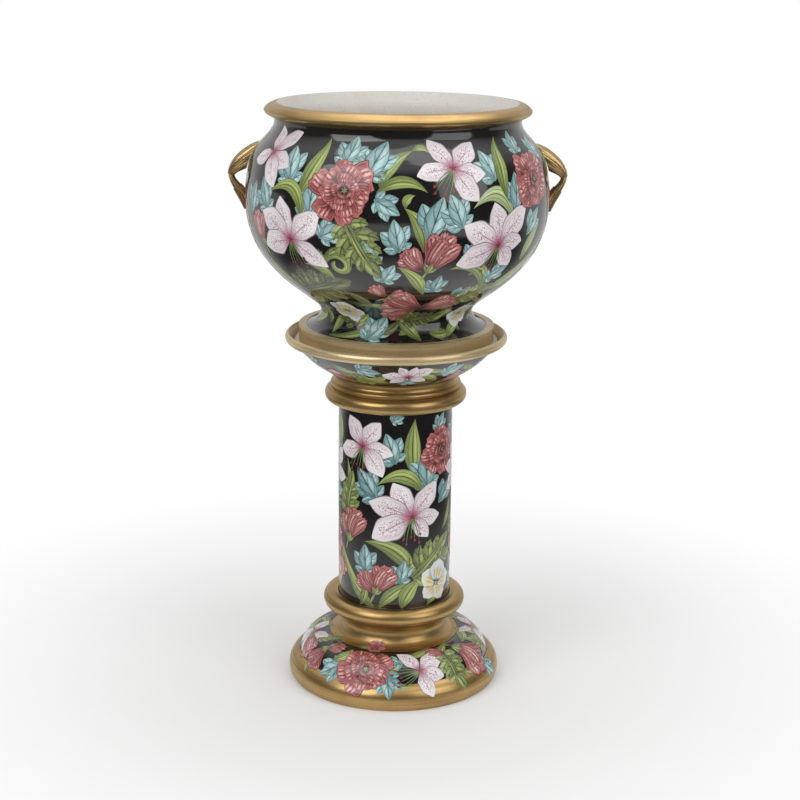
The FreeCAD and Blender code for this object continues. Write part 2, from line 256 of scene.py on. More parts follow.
class Nodes:
    """A node tree that is being filled."""

    def __init__(self, tree):
        self.tree = tree

    def node(self, kind, settings=None, inputs=()):
        """Adds a node, with its settings first and then the values or links of its sockets."""
        node = self.tree.nodes.new(kind)
        for name, value in (settings or {}).items():
            setattr(node, name, value)
        pairs = inputs.items() if isinstance(inputs, dict) else enumerate(inputs)
        for key, value in pairs:
            self.link(value, node.inputs[key])
        return node

    def link(self, value, socket):
        if isinstance(value, Number):
            value = value.socket
        if isinstance(value, bpy.types.NodeSocket):
            self.tree.links.new(value, socket)
        elif isinstance(value, (tuple, list)) and socket.type == "RGBA":
            socket.default_value = (*value[:3], 1.0)
        else:
            socket.default_value = value

    def ray(self, *kinds):
        """1 for rays of these kinds, such as "Camera", and 0 for others."""
        path = self.node("ShaderNodeLightPath")
        first, *others = (Number(self, path.outputs["Is %s Ray" % kind]) for kind in kinds)
        for other in others:
            first = first.most(other)
        return first


class Finish(Nodes):
    """A material that is being made. paint is its colour so far."""

    def __init__(self, name):
        self.material = bpy.data.materials.new(name)
        self.material.use_nodes = True
        super().__init__(self.material.node_tree)
        self.shader = self.tree.nodes["Principled BSDF"]
        self.paint = None

    def constants(self, **values):
        for socket, value in values.items():
            self.shader.inputs[socket.replace("_", " ")].default_value = value

    def place(self):
        return self.node("ShaderNodeTexCoord").outputs["Object"]

    def petal(self, fineness):
        """How far along a painted petal a point lies, how far across it (-1 to 1), and a fine grain."""
        place = self.node("ShaderNodeUVMap", {"uv_map": "Petal"}).outputs[0]
        parts = self.node("ShaderNodeSeparateXYZ", {}, [place])
        across = Number(self, parts.outputs[1]) * 2 - 1
        return Number(self, parts.outputs[0]), across, self.noise(fineness, 3)

    def noise(self, scale, detail, stretch=(1, 1, 1), roughness=0.5):
        place = self.node("ShaderNodeMapping", {}, {"Vector": self.place(), "Scale": stretch}).outputs[0]
        inputs = {"Vector": place, "Scale": scale, "Detail": detail, "Roughness": roughness}
        return Number(self, self.node("ShaderNodeTexNoise", {}, inputs).outputs[0])

    def spots(self, scale):
        """The distance to the nearest of many scattered points, about 0 to 1."""
        node = self.node("ShaderNodeTexVoronoi", {}, {"Vector": self.place(), "Scale": scale})
        return Number(self, node.outputs["Distance"])

    def tone(self):
        """One number from 0 to 1 for each petal or leaf."""
        return Number(self, self.node("ShaderNodeAttribute", {"attribute_name": "tone"}).outputs["Fac"])

    def over(self, share, colour):
        """Lays a colour over the paint so far."""
        settings = {"data_type": "RGBA", "clamp_factor": True}
        self.paint = self.node("ShaderNodeMix", settings, {0: share, 6: self.paint, 7: colour}).outputs[2]
        self.link(self.paint, self.shader.inputs["Base Color"])

    def bump(self, height, distance, strength):
        inputs = {"Height": height, "Distance": distance, "Strength": strength}
        self.link(self.node("ShaderNodeBump", {}, inputs).outputs[0], self.shader.inputs["Normal"])

    def roughness(self, value):
        self.link(value, self.shader.inputs["Roughness"])

    def inked(self, edge, ink, grain, rough=0.3):
        """Ends an enamel: the ink of its edges, a slightly uneven shine and a clear coat."""
        self.over(edge, ink)
        self.roughness(grain * 0.2 + rough)
        self.constants(Coat_Weight=0.7, Coat_Roughness=0.05)


def chosen(name):
    """A colour as it stands in the panel."""
    return tuple(getattr(bpy.context.scene.jardiniere_colours, name))


def black_glaze(finish):
    finish.constants(Coat_Weight=0.6, Coat_Roughness=0.03)
    finish.paint = chosen("glaze")
    finish.over(finish.noise(9, 3).between(0.4, 0.75), (0.014, 0.010, 0.009))
    finish.roughness(finish.noise(30, 2) * 0.1 + 0.06)
    finish.bump(finish.noise(45, 1), 0.0006, 0.3)


# A paler gold that gilding can take a share of, as a painted highlight.
PAINTED_HIGHLIGHT_GOLD = (0.82, 0.68, 0.42)


def gilding(finish, shade, rough, metal, light):
    """Gold with worn streaks round the piece. light is the share of paler gold in it, a painted highlight.
    """
    finish.constants(Metallic=metal)
    streak = finish.noise(90, 4, (0.06, 0.06, 3.0), 0.65)
    cloud = finish.noise(14, 3)
    speck = finish.noise(420, 2)
    worn = (streak * 0.75 + cloud * 0.5).between(0.48, 0.86)
    finish.paint = [a + (b - a) * light for a, b in zip(chosen("gold"), PAINTED_HIGHLIGHT_GOLD)]
    finish.over(worn * shade, chosen("gold_shade"))
    finish.over(speck.between(0.62, 0.72) * 0.35, chosen("gold_shade"))
    finish.roughness(streak * 0.22 + cloud * 0.1 + (rough - 0.12))
    finish.bump(streak + speck * 0.4, 0.0004, 0.35)


def biscuit(finish):
    """Pale slip with a fine stipple and faint stains."""
    stipple = finish.noise(260, 3)
    finish.paint = chosen("biscuit")
    finish.over(finish.noise(7, 4).between(0.5, 0.75) * 0.5, (0.55, 0.50, 0.43))
    finish.over(stipple.between(0.58, 0.7) * 0.4, (0.50, 0.46, 0.40))
    finish.roughness(stipple * 0.3 + 0.5)
    finish.bump(stipple, 0.001, 0.7)


def lily_enamel(finish):
    """White petals with a mauve throat, fine veins and many small spots along the middle."""
    along, across, grain = finish.petal(260)
    finish.paint = (0.86, 0.83, 0.83)
    finish.over(finish.tone() * 0.3 + grain * 0.4, (0.60, 0.52, 0.57))
    shade = along.until(0.0, 0.6) * 0.5 + across.between(0.0, 1.0) * 0.25
    finish.over(shade, (0.50, 0.36, 0.43))
    veins = (across * 9 + grain * 2 + along * 2).sine().between(0.75, 1.0) * along.until(0.5, 0.9)
    finish.over(veins * 0.35, (0.36, 0.22, 0.32))
    middle = across.size().until(0.35, 0.85) * along.between(0.05, 0.2) * along.until(0.7, 1.0)
    spots = finish.spots(360) < (middle * 0.27 + 0.06)
    finish.over(spots * middle.between(0.02, 0.2) * 0.9, (0.24, 0.03, 0.09))
    finish.over(along.until(0.02, 0.30) * 0.9, (0.34, 0.03, 0.11))
    rib = across.size().until(0.02, 0.07) * along.until(0.3, 0.8)
    finish.over(rib * 0.7, (0.34, 0.08, 0.18))
    finish.inked(across.size().between(0.86, 0.97) * 0.85, (0.13, 0.09, 0.11), grain)


def red_enamel(finish, rose, cream, deep, opens, streaks):
    """Ruffled petals with crimson streaks on a cream heart. opens is how far up their dark feet reach."""
    along, across, grain = finish.petal(230)
    tone = finish.tone()
    streak = (across * streaks - along * 2 + grain * 5).sine()
    finish.paint = rose
    finish.over(tone * 0.35 + (grain - 0.5) * 0.6, deep)
    heart = across.size().until(0.15, 0.9) * along.between(opens - 0.1, opens + 0.15)
    heart = heart * along.until(0.84, 0.97) * streak.between(-0.9, 0.5)
    finish.over(heart * (1.1 - tone * 0.7), cream)
    lines = (across * streaks * 1.3 + along * 2 + grain * 3).sine().between(0.35, 0.9)
    finish.over(lines * along.until(0.85, 1.0) * 0.7, deep)
    night = (deep[0] * 0.30, deep[1] * 0.25, deep[2] * 0.25)
    foot = (along + streak * 0.06).until(opens - 0.25, opens + 0.1)
    finish.over(foot * 0.9, night)
    finish.over(across.between(0.2, 1.0) * 0.6, deep)
    rim = across.size().between(0.80, 0.88).most(along.between(0.90, 0.94))
    finish.over(rim * 0.5, (0.62, 0.20, 0.19))
    edge = across.size().between(0.90, 0.97).most(along.between(0.96, 0.99))
    finish.inked(edge * 0.95, night, grain)


def leaf_enamel(finish, light, dark, line, lines=11.0, slant=0.0, fine=0.45):
    """Leaves that are lighter on one half, with a rib and fine lines. slant leads them out of the rib."""
    along, across, grain = finish.petal(240)
    half = across.between(-0.15, 0.35)
    finish.paint = light
    finish.over(half * 0.45 + finish.tone() * 0.55 + (grain - 0.5) * 0.5, dark)
    finish.over(along.until(0.0, 0.4) * 0.6, dark)
    band = (across.size() - 0.42).size().until(0.05, 0.35) * along.between(0.1, 0.4)
    band = band * along.until(0.65, 1.0) * (1 - half * 0.6)
    pale = tuple(min(value * 1.5 + 0.05, 0.8) for value in light)
    finish.over(band * 0.6, pale)
    drawn = (along * slant - across.size() * lines + grain * 2).sine().between(fine, 0.95)
    finish.over(drawn * 0.6, line)
    finish.over(across.size().until(0.03, 0.10) * 0.9, line)
    finish.inked(across.size().between(0.85, 0.97) * 0.9, line, grain, 0.32)


def pansy_enamel(finish):
    """Pale petals with a yellow glow and dark lines round a black throat."""
    along, across, grain = finish.petal(230)
    finish.paint = (0.74, 0.68, 0.44)
    finish.over(finish.tone(), (0.56, 0.64, 0.68))
    finish.over(along.between(0.5, 0.9) * 0.6, (0.70, 0.74, 0.76))
    glow = along.between(0.15, 0.35) * along.until(0.45, 0.75) * across.size().until(0.2, 0.8)
    finish.over(glow * 0.8, (0.72, 0.52, 0.14))
    lines = ((across * 15 + grain * 2).sine() > 0.75) * along.until(0.45, 0.8)
    finish.over(lines * 0.6, (0.16, 0.14, 0.08))
    finish.over(along.until(0.02, 0.2), (0.03, 0.03, 0.02))
    edge = across.size().between(0.88, 0.98).most(along.between(0.95, 0.99))
    finish.inked(edge * 0.6, (0.16, 0.18, 0.18), grain)


def line_enamel(finish, light, dark):
    grain = finish.noise(500, 2)
    finish.paint = light
    finish.inked(finish.tone() * 0.6 + grain * 0.4, dark, grain)


def cork(finish):
    finish.constants(Roughness=0.85)
    grain = finish.noise(600, 3)
    finish.paint = (0.50, 0.33, 0.18)
    finish.over(grain.between(0.4, 0.65), (0.24, 0.13, 0.06))
    finish.bump(grain, 0.0006, 0.6)


def zinc(finish):
    finish.constants(Metallic=1.0)
    grain = finish.noise(900, 3, (1, 1, 0.15))
    finish.paint = (0.55, 0.56, 0.56)
    finish.over(grain, (0.38, 0.38, 0.37))
    finish.roughness(grain * 0.25 + 0.22)
    finish.bump(grain, 0.0002, 0.4)


FINISHES = {
    "black_glaze": (black_glaze,),
    "brushed_gold": (gilding, 0.5, 0.27, 0.9, 0.0),
    # Satin gold is partly real, a less shiny gilding, and partly painted highlight: a large share of paler
    # gold.
    "satin_gold_painted_highlight": (gilding, 0.32, 0.26, 0.6, 0.6),
    # The handles take a little of the paler gold, as a painted highlight.
    "handle_gold": (gilding, 0.45, 0.18, 0.9, 0.15),
    "biscuit": (biscuit,),
    "lily": (lily_enamel,),
    "peony": (red_enamel, (0.41, 0.09, 0.085), (0.80, 0.48, 0.43), (0.13, 0.010, 0.014), 0.64, 17),
    "tulip": (red_enamel, (0.38, 0.075, 0.08), (0.82, 0.62, 0.54), (0.14, 0.010, 0.018), 0.30, 13),
    "pansy": (pansy_enamel,),
    "green": (leaf_enamel, (0.29, 0.35, 0.10), (0.09, 0.12, 0.03), (0.02, 0.03, 0.008), 6, 12, 0.7),
    "dusk": (leaf_enamel, (0.15, 0.17, 0.045), (0.05, 0.06, 0.015), (0.014, 0.017, 0.005), 9, 14),
    "strap": (leaf_enamel, (0.34, 0.41, 0.11), (0.085, 0.13, 0.028), (0.025, 0.04, 0.01)),
    "pale": (leaf_enamel, (0.44, 0.52, 0.26), (0.24, 0.31, 0.12), (0.08, 0.12, 0.04)),
    "teal": (leaf_enamel, (0.34, 0.53, 0.51), (0.08, 0.19, 0.195), (0.012, 0.05, 0.06), 7, 16, 0.75),
    "stem": (line_enamel, (0.16, 0.24, 0.08), (0.07, 0.12, 0.04)),
    "anther": (line_enamel, (0.25, 0.03, 0.04), (0.12, 0.02, 0.02)),
    "dark": (line_enamel, (0.012, 0.012, 0.010), (0.03, 0.02, 0.015)),
    "cork": (cork,),
    "zinc": (zinc,),
}


def material(name):
    """The finish of that name, made the first time that it is asked for."""
    key = "finish_" + name
    if key not in bpy.data.materials:
        make, *words = FINISHES[name]
        make(Finish(key), *words)
    return bpy.data.materials[key]


# ---------------------------------------- meshes
def as_mesh(bm, name):
    """Makes the bmesh a mesh and frees it."""
    mesh = bpy.data.meshes.new(name)
    bm.to_mesh(mesh)
    bm.free()
    return mesh


def added(name, data):
    """A new object in the scene, at the origin."""
    thing = bpy.data.objects.new(name, data)
    bpy.context.scene.collection.objects.link(thing)
    return thing


def finished(bm, name, body, materials, sharp=None):
    """The bmesh as an object that moves with a body. sharp is the angle of its hard edges."""
    mesh = as_mesh(bm, name)
    for key in materials:
        mesh.materials.append(material(key))
    if sharp is not None:
        mesh.shade_smooth()
        mesh.set_sharp_from_angle(angle=math.radians(sharp))
    piece = added(name, mesh)
    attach(piece, body)
    return piece


def pour(strip, whole):
    """Adds one bmesh to another and frees it."""
    part = as_mesh(strip, "strip")
    whole.from_mesh(part)
    bpy.data.meshes.remove(part)


def merge(bm, distance):
    """Joins the points that lie in one place, so that seams, poles and tips close."""
    bmesh.ops.remove_doubles(bm, verts=bm.verts, dist=distance)
    bmesh.ops.dissolve_degenerate(bm, edges=bm.edges, dist=1e-7)


def turned(name, body, replaced, stretches):
    """Spins an outline, given as (points, material) stretches in order round it, into a closed shell."""
    materials = list(dict.fromkeys(key for _, key in stretches))
    bm = bmesh.new()
    for points, key in stretches:
        strip = bmesh.new()
        verts = [strip.verts.new((r * MM, 0, z * MM)) for r, z in points]
        edges = [strip.edges.new(pair) for pair in zip(verts, verts[1:])]
        bmesh.ops.spin(strip, geom=verts + edges, cent=(0, 0, 0), axis=(0, 0, 1), dvec=(0, 0, 0),
                       angle=math.tau, steps=bpy.context.scene.jardiniere_sizes.turns, use_merge=True,
                       use_normal_flip=False, use_duplicate=False)
        for face in strip.faces:
            face.material_index = materials.index(key)
        pour(strip, bm)
    merge(bm, 1e-6)
    bmesh.ops.recalc_face_normals(bm, faces=bm.faces)
    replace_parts(finished(bm, name, body, materials, 32), replaced)


def inset_glaze(points):
    """The outline moved in by the glaze inset, which leaves room for the enamel inside the true outline."""
    inset = bpy.context.scene.jardiniere_sizes.glaze_inset / MM
    result = []
    for place, (r, z) in enumerate(points):
        (r1, z1), (r2, z2) = points[max(place - 1, 0)], points[min(place + 1, len(points) - 1)]
        size = math.hypot(r2 - r1, z2 - z1)
        result.append((r - (z2 - z1) / size * inset, z + (r2 - r1) / size * inset))
    return result


# ---------------------------------------- shapes of petals and leaves
# A shape says how far along a blade a point of its grid lies, and how wide the blade is there.
def pointed(foot, peak, tip, ripple=0.0, ripples=0.0):
    """Widest at its peak, with a pointed tip and a wavy edge."""
    def shape(t, side):
        if t < peak:
            wide = foot + (1 - foot) * math.sin(math.pi / 2 * t / peak)
        else:
            wide = max(math.cos(math.pi / 2 * (t - peak) / (1 - peak)), 0.0) ** tip
        return t, wide * (1 + ripple * math.sin(ripples * math.tau * t + 2 * side))
    return shape


def fan(foot, bulge, notch, notches):
    """Narrow at its foot, with a round scalloped end."""
    def shape(t, side):
        reach = 1 - bulge * side * side + notch * (math.cos(side * notches * math.pi) - 1)
        return t * reach, (foot + (1 - foot) * math.sin(math.pi / 2 * t) ** 0.8) * (1 - 0.1 * t ** 5)
    return shape


LEAF = pointed(0.15, 0.42, 1.1)
LINE = pointed(0.7, 0.2, 0.5)
LOBE = pointed(0.12, 0.46, 0.85)
LILY = pointed(0.10, 0.52, 0.84, 0.055, 2.3)
FRINGE = fan(0.26, 0.24, 0.022, 6)
PANSY = fan(0.3, 0.40, 0.02, 3)
TOOTHED = fan(0.30, 0.42, 0.06, 3)


# ---------------------------------------- painting
class Brush:
    """Paints petals and leaves as thin enamel on a turned piece. Each is a grid laid on the surface."""
    SHEET_FULL = 3000
    LEAF_LEVELS = 15
    LEAF_STEP = 5
    FLOWER_LEVEL = 30

    def __init__(self, outline):
        self.outline = outline
        self.sheets = {}
        self.leaf_level = 0
        self.chance = random.Random(7)

    def sheet(self, key):
        """The mesh for the next blade of a kind. A full one is put by, because small ones are quicker."""
        sheets = self.sheets.setdefault(key, [])
        if not sheets or len(sheets[-1].verts) > self.SHEET_FULL:
            bm = bmesh.new()
            bm.loops.layers.uv.new("Petal")
            bm.faces.layers.float.new("tone")
            sheets.append(bm)
        return sheets[-1]

    def level(self, kind):
        """The layer of paint that a motif starts in. Leaves take turns in a few, all under the flowers."""
        if kind in FLOWERS:
            return self.FLOWER_LEVEL
        self.leaf_level = (self.leaf_level + self.LEAF_STEP) % self.LEAF_LEVELS
        return self.leaf_level

    def blade(self, spot, path, shape, length, half_width, key, tone=None):
        """Lays a grid along path(t), which runs from t = 0 to 1, as wide as the shape says."""
        bm = self.sheet(key)
        uv = bm.loops.layers.uv["Petal"]
        tones = bm.faces.layers.float["tone"]
        tone = self.chance.random() if tone is None else tone
        sizes = bpy.context.scene.jardiniere_sizes
        lift = sizes.enamel + sizes.layer * spot.level
        spot.level += 1
        rows = max(4, math.ceil(length * spot.size / sizes.cell))
        cols = max(2, 2 * math.ceil(half_width * spot.size / sizes.cell))
        verts = bmesh.ops.create_grid(bm, x_segments=rows, y_segments=cols, size=1.0)["verts"]
        for face in {face for vert in verts for face in vert.link_faces}:
            face[tones] = tone
            face.smooth = True
            for loop in face.loops:
                loop[uv].uv = (loop.vert.co.x / 2 + 0.5, loop.vert.co.y / 2 + 0.5)
        for vert in verts:
            side = vert.co.y
            t, wide = shape(vert.co.x / 2 + 0.5, side)
            (x, y), (x1, y1), (x2, y2) = path(t), path(t - 0.01), path(t + 0.01)
            wide *= half_width * side / math.hypot(x2 - x1, y2 - y1)
            vert.co = spot.surface(x - (y2 - y1) * wide, y + (x2 - x1) * wide, lift)

    def pieces(self, prefix, body):
        """One object for each kind of paint."""
        for key, sheets in self.sheets.items():
            whole = bmesh.new()
            for bm in sheets:
                merge(bm, 2e-6)
                pour(bm, whole)
            finished(whole, prefix + "_" + key, body, [key])


class Spot:
    """A place on a painted surface, with its own size and turn. x runs right and y up, in millimetres."""

    def __init__(self, brush, azimuth, height, turn, size, level):
        self.brush, self.size, self.level = brush, size, level
        self.azimuth, self.length = math.radians(azimuth), brush.outline.length_at(height)
        self.cos, self.sin = math.cos(math.radians(turn)) * size, math.sin(math.radians(turn)) * size

    def surface(self, x, y, lift):
        right, up = x * self.cos + y * self.sin, y * self.cos - x * self.sin
        radius = self.brush.outline.at_length(self.length + up)[0]
        return self.brush.outline.surface(self.azimuth + right / radius, self.length + up, lift)

    def blade(self, start, end, width, key, shape=LEAF, bend=0.0, tone=None):
        """A petal or leaf from start to end. bend is how far its middle swings right, by its length."""
        (x1, y1), (x2, y2) = start, end
        mid_x = (x1 + x2) / 2 + (y2 - y1) * bend * 2
        mid_y = (y1 + y2) / 2 - (x2 - x1) * bend * 2

        def path(t):
            a, b, c = (1 - t) ** 2, 2 * t * (1 - t), t * t
            return a * x1 + b * mid_x + c * x2, a * y1 + b * mid_y + c * y2

        self.brush.blade(self, path, shape, math.hypot(x2 - x1, y2 - y1), width / 2, key, tone)

    def ray(self, angle, start, end, width, key, shape=LEAF, bend=0.0, tone=None, at=(0.0, 0.0)):
        """A blade straight out from a point, at an angle clockwise from up, in degrees."""
        x, y = math.sin(math.radians(angle)), math.cos(math.radians(angle))
        foot, tip = ((at[0] + x * reach, at[1] + y * reach) for reach in (start, end))
        self.blade(foot, tip, width, key, shape, bend, tone)


# ---- motifs
def lily(spot, petals, droop=None):
    """An open lily. petals are (angle, length) pairs, and droop is the way that its stamens hang."""
    chance = spot.brush.chance
    for angle, length in petals:
        width = length * chance.uniform(0.52, 0.62)
        spot.ray(angle, 2, length, width, "lily", LILY, chance.uniform(-0.05, 0.05))
    for step in range(6 if droop is not None else 0):
        angle, reach = droop + (step - 2.5) * 9, 34 + 7 * (step * 2 % 3)
        spot.ray(angle, 3, reach, 1.8, "stem", LINE, 0.03 * (step - 2.5))
        spot.ray(angle, reach - 2, reach + 5, 4.6, "anther")
    for step in range(5):
        spot.ray(step * 72, 0, 7, 2.6, "anther")


# How many petals each ring has, where they start and end, and how wide they are.
PEONY_RINGS = ((7, 10, 54, 52), (5, 8, 42, 46), (5, 6, 31, 33), (4, 4, 22, 26), (4, 0, 14, 17))
PEONY_HEART = (5.0, 2.0)


def peony(spot):
    """A full peony: rings of ruffled petals that close round a dark heart beside the middle."""
    chance = spot.brush.chance
    for ring, (count, inner, outer, width) in enumerate(PEONY_RINGS):
        share = ring / (len(PEONY_RINGS) - 1)
        middle = (PEONY_HEART[0] * share, PEONY_HEART[1] * share)
        for step in range(count):
            angle = 360 * step / count + ring * 31 + chance.uniform(-16, 16)
            bulge, notch = chance.uniform(0.10, 0.24), chance.uniform(0.02, 0.045)
            ruffle = fan(0.3, bulge, notch, chance.choice((2, 3, 4)))
            reach, wide = outer * chance.uniform(0.82, 1.06), width * chance.uniform(0.80, 1.15)
            bend, tone = chance.uniform(-0.10, 0.10), chance.uniform(0.0, 0.4) + 0.6 * share
            spot.ray(angle, inner, reach, wide, "peony", ruffle, bend, tone, middle)
    for step in range(12):
        spot.ray(step * 30, 0, 5 + 5 * (step % 2), 2.4, "dark" if step % 2 else "pale", at=PEONY_HEART)


def tulip(spot, length, calyx=True):
    """A feathered tulip seen from the side, opening upwards from the spot."""
    for angle, share, width in ((-8, 0.98, 0.44), (10, 1.0, 0.44), (-24, 0.90, 0.46), (25, 0.92, 0.46),
                                (1, 0.84, 0.44)):
        spot.ray(angle, 0, length * share, length * width, "tulip", FRINGE, math.copysign(0.09, -angle))
    if calyx:
        for angle in (-48, 48, 0):
            spot.ray(angle, -5, length * 0.22, length * 0.15, "green")
        spot.blade((0, -3), (0, -22), 4.5, "strap", LINE)


def pansy(spot):
    """Two petals below, two at the sides and one above, each laid over the last."""
    for angle, length, width in ((-142, 31, 30), (145, 31, 30), (-68, 32, 33), (72, 32, 33), (0, 34, 38)):
        spot.ray(angle, 0, length, width, "pansy", PANSY)
    spot.ray(180, -1, 6, 5, "pale")


def teal_leaf(spot, length, lobes=(-42, 40, -76, 72)):
    """A leaf with a long middle lobe and shorter ones beside it, whose tip lies up from the spot."""
    tone = spot.brush.chance.random()
    for step, angle in reversed(list(enumerate(lobes))):
        foot, reach = length * (0.20, 0.28, 0.06, 0.10)[step], length * (0.66, 0.62, 0.44, 0.42)[step]
        spot.ray(angle, 0, reach, reach * 0.68, "teal", LOBE, tone=tone, at=(0, foot))
    spot.blade((0, 0), (0, length), length * 0.50, "teal", LOBE, tone=tone)


def acanthus(spot, length, key="green"):
    """A long leaf with toothed lobes on both sides of its rib, whose tip lies up from the spot."""
    for step, share in enumerate((0.34, 0.42, 0.38, 0.30)):
        foot, reach, angle = length * (0.02 + 0.70 * step / 4), length * share, 66 - 9 * step
        for side in (-1, 1):
            spot.ray(side * angle, 0, reach, reach * 0.62, key, TOOTHED, 0.10 * side, at=(0, foot))
    spot.blade((0, length * 0.5), (0, length), length * 0.24, key, LOBE)
    spot.blade((0, 0), (0, length * 0.8), length * 0.13, key, LINE)
    spot.blade((0, 0), (0, length * 0.92), 1.5, "dark", LINE)


def strap(spot, length, width, bend=0.1, key="strap"):
    """One long leaf, whose tip lies up from the spot."""
    spot.blade((0, 0), (0, length), width, key, LEAF, bend)


def tendril(spot):
    """A green scroll with two leaves at its foot."""
    def path(t):
        angle = t * 1.15 * math.tau
        radius = 20 * (1 - t) + 5
        return 22 - radius * math.cos(angle), radius * math.sin(angle) + t * 6
    spot.brush.blade(spot, path, LINE, 100, 6.5, "strap", 0.3)
    spot.blade((0, -6), (-8, 32), 15, "green", TOOTHED)
    spot.blade((4, 20), (32, 38), 12, "green", TOOTHED)


FLOWERS = {"lily": lily, "peony": peony, "tulip": tulip, "pansy": pansy}
MOTIFS = {"strap": strap, "acanthus": acanthus, "tendril": tendril, "teal": teal_leaf, **FLOWERS}


def paint(brush, groups, half):
    """Paints one half of a piece, which lies half degrees round from the front."""
    for kind, size, places in groups:
        for azimuth, height, turn, *words in places:
            MOTIFS[kind](Spot(brush, azimuth + half, height, turn, size, brush.level(kind)), *words)


# ---------------------------------------- where the motifs lie
# Each group is a kind of motif, its size and its places. A place has its azimuth in degrees from the front,
# its height in millimetres and its turn clockwise in degrees, and then what the motif's function takes.
BOWL_FLOWERS = (
    ("strap", 1, (
        (-38, 875, 17, 104, 28, 0.08), (-36, 836, -63, 82, 24, 0.42), (-6, 894, 37, 78, 26, -0.12),
        (6, 946, 100, 26, 12, -0.3), (-7, 886, 90, 78, 20, -0.22), (10, 794, -25, 78, 27, 0.14),
        (3, 864, 38, 24, 14, -0.25), (43, 872, 7, 104, 26, -0.1), (46, 838, -75, 82, 27, 0.38, "pale"),
        (41, 722, -58, 100, 24, 0.26), (12, 720, -37, 80, 22, 0.12), (44, 716, 51, 158, 34, 0.1, "pale"),
        (58, 764, 28, 66, 26, -0.12, "pale"), (16, 632, -41, 62, 20, 0.06), (36, 634, 60, 58, 16, -0.1),
        (40, 658, 30, 58, 24, 0.1, "pale"), (22, 660, 42, 54, 22), (-48, 632, 61, 112, 17, 0.12),
        (1, 684, -76, 66, 17, 0.12), (-62, 770, 150, 92, 20, 0.08), (24, 642, 92, 40, 22),
        (-36, 655, 60, 48, 22), (-42, 664, 200, 40, 18), (2, 640, 40, 40, 16), (-70, 700, -20, 90, 22),
        (-84, 880, 10, 90, 24, -0.1), (66, 650, 30, 60, 20), (88, 720, -30, 90, 24), (-88, 640, 60, 80, 18),
        (80, 880, 20, 80, 24, -0.1), (-60, 690, 70, 60, 22), (-26, 742, -60, 56, 18, 0.2),
        (30, 752, 20, 44, 18, 0.2), (-14, 690, -35, 60, 20, 0.1, "dusk"),
        (24, 690, 30, 56, 20, -0.1, "dusk"), (-36, 700, 20, 56, 20), (2, 660, 20, 44, 18),
        (-12, 640, 50, 44, 16, 0.1, "dusk"), (50, 640, -40, 44, 18), (-56, 646, -20, 44, 18))),
    ("acanthus", 1, (
        (-18, 838, 154, 106), (-50, 712, 70, 128, "dusk"), (66, 700, 20, 90), (-80, 770, 10, 84),
        (30, 702, 62, 84), (-32, 650, -30, 50, "dusk"), (6, 664, 80, 64, "dusk"))),
    ("tendril", 1, ((-28, 766, 0),)),
    ("teal", 1, (
        (-68, 830, 18, 58, (-40, 38)), (-20, 924, 12, 54), (-11, 904, 20, 72), (-42, 888, -12, 68),
        (-54, 842, -22, 56), (-33, 840, 8, 66), (-29, 812, 64, 50), (-8, 876, 120, 46), (1, 794, -10, 54),
        (11, 812, 20, 72, (-38, 34)), (24, 830, -22, 58), (38, 898, -14, 56), (56, 934, 4, 42),
        (70, 922, 20, 48), (48, 846, 2, 64, (-30, 30)), (56, 806, 36, 52, (-40, 40)), (16, 723, 10, 42),
        (26, 706, 48, 44, (-34, 30)), (-20, 632, 34, 56), (-86, 700, 10, 60), (-84, 850, 10, 60),
        (88, 800, -20, 60), (72, 730, 10, 50), (-60, 664, -30, 44), (82, 640, 20, 44), (-8, 772, -24, 46),
        (28, 776, 12, 40), (-6, 742, 30, 44), (40, 740, 60, 46))),
    ("lily", 1, (
        (-58, 932, 0, ((-16, 50), (46, 60), (-113, 52), (111, 60), (152, 64))),
        (-42, 803, 0, ((-17, 70), (-61, 78), (-106, 74), (52, 76), (124, 74)), 170),
        (21, 921, 0, ((-31, 60), (43, 62), (-101, 60), (102, 56), (142, 66)), -152),
        (40, 798, 0, ((-11, 70), (46, 82), (-62, 78), (89, 56), (136, 58), (-112, 76)), -172),
        (82, 740, 0, ((-20, 60), (46, 62), (104, 54), (-72, 64), (-118, 66)), 175))),
    ("peony", 1, ((-20, 886, 0),)),
    ("peony", 0.98, ((60, 892, 10),)),
    ("peony", 0.8, ((-86, 836, 40),)),
    ("tulip", 1, (
        (10, 765, -46, 50, False), (12, 763, 26, 74), (-5, 716, -38, 36, False), (-4, 712, 64, 38),
        (13, 690, -58, 74, False), (14, 690, 66, 64, False), (10, 688, -118, 56, False),
        (-60, 786, -12, 58), (78, 826, 12, 56))),
    ("pansy", 1, ((-33, 678, 20),)),
    ("pansy", 0.9, ((50, 668, -20),)),
)

